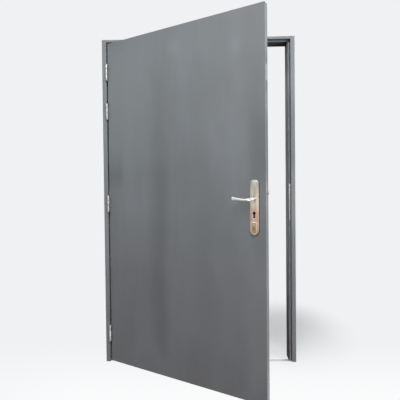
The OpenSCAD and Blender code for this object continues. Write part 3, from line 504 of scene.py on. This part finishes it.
rubber = {"stops": [(0.0, (1.15, 1.12, 1.12)), (0.5, (1.25, 1.28, 1.3)), (0.85, (1.4, 1.44, 1.44)),
                    (1.35, (1.12, 1.14, 1.16)), (1.7, (0.98, 1.0, 1.03)), (1.86, (0.7, 0.74, 0.8)),
                    (2.0, (0.62, 0.66, 0.7))],
          "dust": (90, 5, 0.65, (1, 1, 0.2)), "dustRise": (0.45, 0.75),
          "dark": (0.29, 0.305, 0.32), "pale": (0.38, 0.39, 0.4),
          "rough": 0.55, "roughInDust": 0.2, "depth": 0.0001, "strength": 0.5}


def rubberLook():
    mat, tree, shader = newMaterial("grey seal rubber")
    spot = objectSpot(tree)
    dust = noise(tree, spot, *rubber["dust"])
    dusty = rise(tree, dust, *rubber["dustRise"])
    base = mixColour(tree, dusty, rgb(*rubber["dark"]), rgb(*rubber["pale"]))
    # painted light and shade by height, multiplied into the rubber
    paintedLightAndShadeByHeight = toneUp(tree, parts(tree, spot)[2], rubber["stops"])
    tree.links.new(mixColour(tree, 1.0, base, paintedLightAndShadeByHeight, "MULTIPLY"), shader.inputs["Base Color"])
    rough = plus(tree, rubber["rough"], times(tree, dust, rubber["roughInDust"]))
    tree.links.new(rough, shader.inputs["Roughness"])
    bumped(tree, shader, dust, rubber["depth"], rubber["strength"])
    return mat


wool = {"fibre": (260, 6, 0.75, (1, 1, 0.3)), "fibreRise": (0.35, 0.7), "dark": (0.36, 0.29, 0.13),
        "pale": (0.62, 0.54, 0.3), "rough": 0.95, "depth": 0.0006, "strength": 0.8}


def woolLook():
    mat, tree, shader = newMaterial("pressed mineral wool")
    fibre = noise(tree, objectSpot(tree), *wool["fibre"])
    share = rise(tree, fibre, *wool["fibreRise"])
    tree.links.new(mixColour(tree, share, rgb(*wool["dark"]), rgb(*wool["pale"])),
                   shader.inputs["Base Color"])
    shader.inputs["Roughness"].default_value = wool["rough"]
    bumped(tree, shader, fibre, wool["depth"], wool["strength"])
    return mat


looks = {"framePaint": framePaint(), "leafPaint": leafPaint(), "innerPaint": innerPaint(),
         "rubber": rubberLook(), "wool": woolLook()}
looks.update({name: sheetLook(look) for name, look in sheets.items()})
looks.update({name: steelLook(look) for name, look in steels.items()})
print("materials made:", len(looks))

# Finish of each node by its name. The rest, which is the hinges, gets the hinge steel
finishes = {
    "leafPaint": ["leaf_skin"],
    "innerPaint": ["inner_skin"],
    "framePaint": ["hinge_jamb", "lock_jamb", "head_rail"],
    "rubber": ["hinge_jamb_seal", "lock_jamb_seal_upper", "lock_jamb_seal_lower", "head_seal"],
    "wool": ["core_top", "core_middle", "core_bottom"],
    "lever": ["outer_lever", "inner_lever", "backplate_bolts"],
    "cover": ["keyhole_cover", "cover_rivet"],
    "plate": ["outer_backplate", "inner_backplate"],
    "forend": ["main_forend", "upper_forend", "forend_screws",
               "latch_bolt", "dead_bolt", "upper_bolt"],
    "strike": ["main_strike", "strike_screws"],
    "case": ["main_lock_case", "upper_lock_case", "lever_follower", "link_rod"],
    "zinc": ["skin_rivets", "top_closer", "bottom_closer", "hinge_stile", "lock_stile",
             "upper_rail", "lower_rail", "spindle"],
    "sill": ["threshold"]}
lookOf = {name: look for look, names in finishes.items() for name in names}
for name, obj in nodes.items():
    obj.data.materials.clear()
    obj.data.materials.append(looks[lookOf.get(name, "hinge")])
print("nodes painted")

# Worn edges: a copy of each node below gets round edges and stands for it

edgeWear = {
    "rounds": [  # radius and the nodes that have it
        (0.0007, ["outer_backplate", "inner_backplate", "threshold"]),
        (0.0005, ["keyhole_cover", "main_forend", "upper_forend", "main_strike", "cover_rivet",
                  "dead_bolt", "latch_bolt", "upper_bolt"]),
        (0.0003, ["hinge_%d_%s" % (number, part) for part in ("frame_half", "leaf_half", "pin")
                  for number in (1, 2, 3, 4)])],
    "steps": 2, "sharper": 35, "smoother": 32,  # angles in degrees
    # points this near are one, and faces this flat (in degrees) are one
    "same": 0.00001, "flat": 0.5}


def onlyActive(obj):
    bpy.ops.object.select_all(action="DESELECT")
    obj.select_set(True)
    bpy.context.view_layer.objects.active = obj


def merged(obj):
    onlyActive(obj)
    bpy.ops.object.mode_set(mode="EDIT")
    bpy.ops.mesh.select_all(action="SELECT")
    bpy.ops.mesh.remove_doubles(threshold=edgeWear["same"])
    bpy.ops.mesh.dissolve_limited(angle_limit=math.radians(edgeWear["flat"]))
    bpy.ops.object.mode_set(mode="OBJECT")


def wornCopy(name, radius):
    node = nodes[name]
    onlyActive(node)
    bpy.ops.object.duplicate()
    piece = bpy.context.object
    piece.name = name + "_worn"
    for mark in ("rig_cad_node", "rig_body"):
        if mark in piece:
            del piece[mark]
    merged(piece)
    rounding = piece.modifiers.new("round edges", "BEVEL")
    rounding.width = radius
    rounding.segments = edgeWear["steps"]
    rounding.limit_method = "ANGLE"
    rounding.angle_limit = math.radians(edgeWear["sharper"])
    bpy.ops.object.modifier_apply(modifier=rounding.name)
    bpy.ops.object.shade_smooth_by_angle(angle=math.radians(edgeWear["smoother"]))
    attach(piece, node["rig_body"])
    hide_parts(name)


for radius, names in edgeWear["rounds"]:
    for name in names:
        wornCopy(name, radius)
print("edges rounded:", sum(len(names) for _, names in edgeWear["rounds"]))

# The lever: a ring is drawn out of the boss, round the swan neck and along the arm to its tip

leverForm = {
    "across": 1.0675, "up": 1.036, "sides": 28, "smoothing": 2,
    # in millimetres: towards the hinges, stand-off and rise, then the turn in degrees,
    # then the half widths in the bend's plane and upright
    "rings": [(0, 0.0, 0, 0, 7.4, 7.4), (0, 9.2, 0, 0, 7.4, 7.4), (0.1, 15, 0, 2, 7.3, 7.3),
              (0.5, 22, -0.3, 6, 7.1, 7.1), (1.6, 28, -0.8, 15, 7, 7),
              (4.2, 34, -1.7, 30, 6.7, 6.8), (8.6, 39, -2.8, 48, 6.2, 6.5),
              (14.5, 42.6, -3.6, 66, 5.7, 6.2), (22, 44.9, -4, 78, 5.2, 5.9),
              (32, 46.1, -4.1, 86, 4.8, 5.8), (44, 46.6, -3.7, 89, 4.5, 5.8),
              (58, 46.5, -2.5, 91, 4.3, 6), (72, 46.1, -1, 92, 4.2, 6.4),
              (86, 45.4, 0.6, 94, 4, 7), (96, 44.8, 1.5, 95, 3.9, 8.1),
              (102.5, 44.4, 2, 95, 3.9, 8.8), (106.5, 44.2, 2.1, 95, 3.6, 8.7),
              (109, 44, 2.2, 95, 2.9, 7.8), (109.9, 43.9, 2.2, 95, 1.8, 5.8)]}
perMetre = 1000  # millimetres


def turnedOut(piece):
    onlyActive(piece)
    bpy.ops.object.mode_set(mode="EDIT")
    bpy.ops.mesh.select_all(action="SELECT")
    bpy.ops.mesh.normals_make_consistent(inside=False)
    bpy.ops.object.mode_set(mode="OBJECT")


def drawnLever(name):
    across, up = leverForm["across"], leverForm["up"]
    bpy.ops.object.select_all(action="DESELECT")
    bpy.ops.mesh.primitive_circle_add(vertices=leverForm["sides"], radius=1, fill_type="NGON",
                                      location=(across, 0, up), rotation=(math.pi / 2, 0, 0))
    piece = bpy.context.object
    piece.name = name
    bpy.ops.object.transform_apply(location=True, rotation=True, scale=True)
    bpy.ops.object.mode_set(mode="EDIT")
    bpy.ops.mesh.select_all(action="SELECT")
    wide, turned, tall = 1.0, 0.0, 1.0
    centre = Vector((across, 0, up))
    for number, (back, out, lift, degrees, halfWide, halfTall) in enumerate(leverForm["rings"]):
        spot = Vector((across - back / perMetre, -out / perMetre, up + lift / perMetre))
        newWide, newTall = halfWide / perMetre, halfTall / perMetre
        if number > 0:
            bpy.ops.mesh.extrude_region_move()
        bpy.ops.transform.translate(value=spot - centre)
        bpy.ops.transform.rotate(value=turned, orient_axis="Z", center_override=spot)
        bpy.ops.transform.resize(value=(newWide / wide, 1, newTall / tall), center_override=spot)
        turned = math.radians(degrees)
        bpy.ops.transform.rotate(value=-turned, orient_axis="Z", center_override=spot)
        wide, tall, centre = newWide, newTall, spot
    bpy.ops.object.mode_set(mode="OBJECT")
    turnedOut(piece)
    return piece


def fitLever(piece, node, inside):
    onlyActive(piece)
    if inside:  # the inner lever is the outer one's mirror image in the leaf's middle plane
        piece.scale = (1, -1, 1)
        piece.location = (0, leaf["depth"], 0)
        bpy.ops.object.transform_apply(location=True, rotation=True, scale=True)
        turnedOut(piece)
    piece.matrix_world = leafMatrix
    bpy.ops.object.transform_apply(location=True, rotation=True, scale=True)
    rounding = piece.modifiers.new("smooth form", "SUBSURF")
    rounding.levels = leverForm["smoothing"]
    rounding.render_levels = leverForm["smoothing"]
    bpy.ops.object.modifier_apply(modifier=rounding.name)
    bpy.ops.object.shade_smooth()
    piece.data.materials.append(looks["lever"])
    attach(piece, "handle")
    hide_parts(node)


fitLever(drawnLever("outer_lever_drawn"), "outer_lever", False)
fitLever(drawnLever("inner_lever_drawn"), "inner_lever", True)
print("levers drawn")

# Camera, lamps and floor

scene = bpy.context.scene
camera = {"spot": (0.13205, -3.19641, 1.09624), "yaw": 2.3082, "tilt": -1.4541, "roll": 0.5898,
          "lens": 45.196, "sensor": 36}
bpy.ops.object.camera_add(location=camera["spot"])
cam = bpy.context.object
turn = (Matrix.Rotation(math.radians(camera["yaw"]), 3, "Z")
        @ Matrix.Rotation(math.radians(90 + camera["tilt"]), 3, "X")
        @ Matrix.Rotation(math.radians(-camera["roll"]), 3, "Z"))
cam.rotation_euler = turn.to_euler()
cam.data.lens = camera["lens"]
cam.data.sensor_width = camera["sensor"]
scene.camera = cam

lamps = [  # name, place, aimed at, size, watts
    ("front above", (0.2, -3.6, 4.6), (0, -0.3, 1.5), 2.4, 185),
    ("left above", (-3.4, -3.4, 3.6), (-0.2, -0.4, 1.4), 2.4, 100),
    ("right", (3.2, -2.6, 1.4), (0.2, -0.3, 1.0), 2.0, 120),
    ("from behind", (1.5, 4.0, 3.6), (0, 0, 1.2), 2.5, 120),
    ("behind left", (-3.4, 3.2, 2.6), (0.3, 0, 1.1), 2.4, 40)]
for name, spot, target, size, watts in lamps:
    bpy.ops.object.light_add(type="AREA", location=spot)
    lamp = bpy.context.object
    lamp.name = name
    lamp.data.size = size
    lamp.data.energy = watts
    lamp.rotation_euler = (Vector(target) - Vector(spot)).to_track_quat("-Z", "Y").to_euler()

studio = {
    "seen": (0.871, 0.88, 0.896), "lit": (0.9, 0.93, 1.0), "level": 0.12,
    "floorSize": 60, "floor": (0.68, 0.685, 0.695), "deepFloor": (0.1, 0.1, 0.103),
    "floorRough": 0.95, "floorGloss": 0.1,
    # the floor gets whiter towards the front, and less so far off
    "near": (0.965, 0.97, 0.975), "nearFrom": (-0.4, 0.8), "nearTo": (2.4, 5),
    # the part of the floor that takes shadows, and whose darker seen colour paints a soft shadow
    # there as well: its place and breadth, and where it fades out
    "middle": (-1.2, -0.75, 0), "narrow": (1.9, 1, 1), "fade": (0.2, 1.05)}


def seenRays(tree):
    ray = addNode(tree, "LightPath")
    seen = maths(tree, "MAXIMUM", ray.outputs["Is Camera Ray"], ray.outputs["Is Glossy Ray"])
    return maths(tree, "MAXIMUM", seen, ray.outputs["Is Transmission Ray"])


def paleWorld():
    world = bpy.data.worlds.new("pale studio")
    world.use_nodes = True
    tree = world.node_tree
    tree.nodes.clear()
    lit = addNode(tree, "Background", {"Color": rgb(*studio["lit"]), "Strength": studio["level"]})
    shown = addNode(tree, "Background", {"Color": rgb(*studio["seen"]), "Strength": 1.0})
    both = addNode(tree, "MixShader", {0: seenRays(tree), 1: lit.outputs[0], 2: shown.outputs[0]})
    addNode(tree, "OutputWorld", {"Surface": both.outputs[0]})
    return world


# The floor's seen colour is darker in its middle, a painted shadow on top of the cast one, and
# fades into the pale backdrop with distance
def floorLook():
    mat, tree, shader = newMaterial("pale floor")
    shader.inputs["Roughness"].default_value = studio["floorRough"]
    shader.inputs["Specular IOR Level"].default_value = studio["floorGloss"]
    seen = seenRays(tree)
    tree.links.new(mixColour(tree, seen, rgb(*studio["deepFloor"]), rgb(*studio["floor"])),
                   shader.inputs["Base Color"])
    spot = objectSpot(tree)
    moved = addNode(tree, "Mapping", {"Vector": spot, "Location": studio["middle"],
                                      "Scale": studio["narrow"]})
    away = addNode(tree, "VectorMath", {0: moved.outputs[0]}, operation="LENGTH").outputs["Value"]
    forward = times(tree, parts(tree, spot)[1], -1.0)
    near = times(tree, rise(tree, forward, *studio["nearFrom"]),
                 opposite(tree, rise(tree, away, *studio["nearTo"])))
    tone = mixColour(tree, near, rgb(*studio["seen"]), rgb(*studio["near"]))
    haze = addNode(tree, "Emission", {"Color": tone, "Strength": 1.0})
    fade = times(tree, seen, rise(tree, away, *studio["fade"]))
    joined = addNode(tree, "MixShader", {0: fade, 1: shader.outputs[0], 2: haze.outputs[0]})
    tree.links.new(joined.outputs[0], tree.nodes["Material Output"].inputs["Surface"])
    return mat


scene.view_settings.view_transform = "Standard"
scene.world = paleWorld()
bpy.ops.object.select_all(action="DESELECT")
bpy.ops.mesh.primitive_plane_add(size=studio["floorSize"], location=(0, 0, 0))
floor = bpy.context.object
floor.name = "floor"
floor.data.materials.append(floorLook())
print("camera, lamps and floor set")
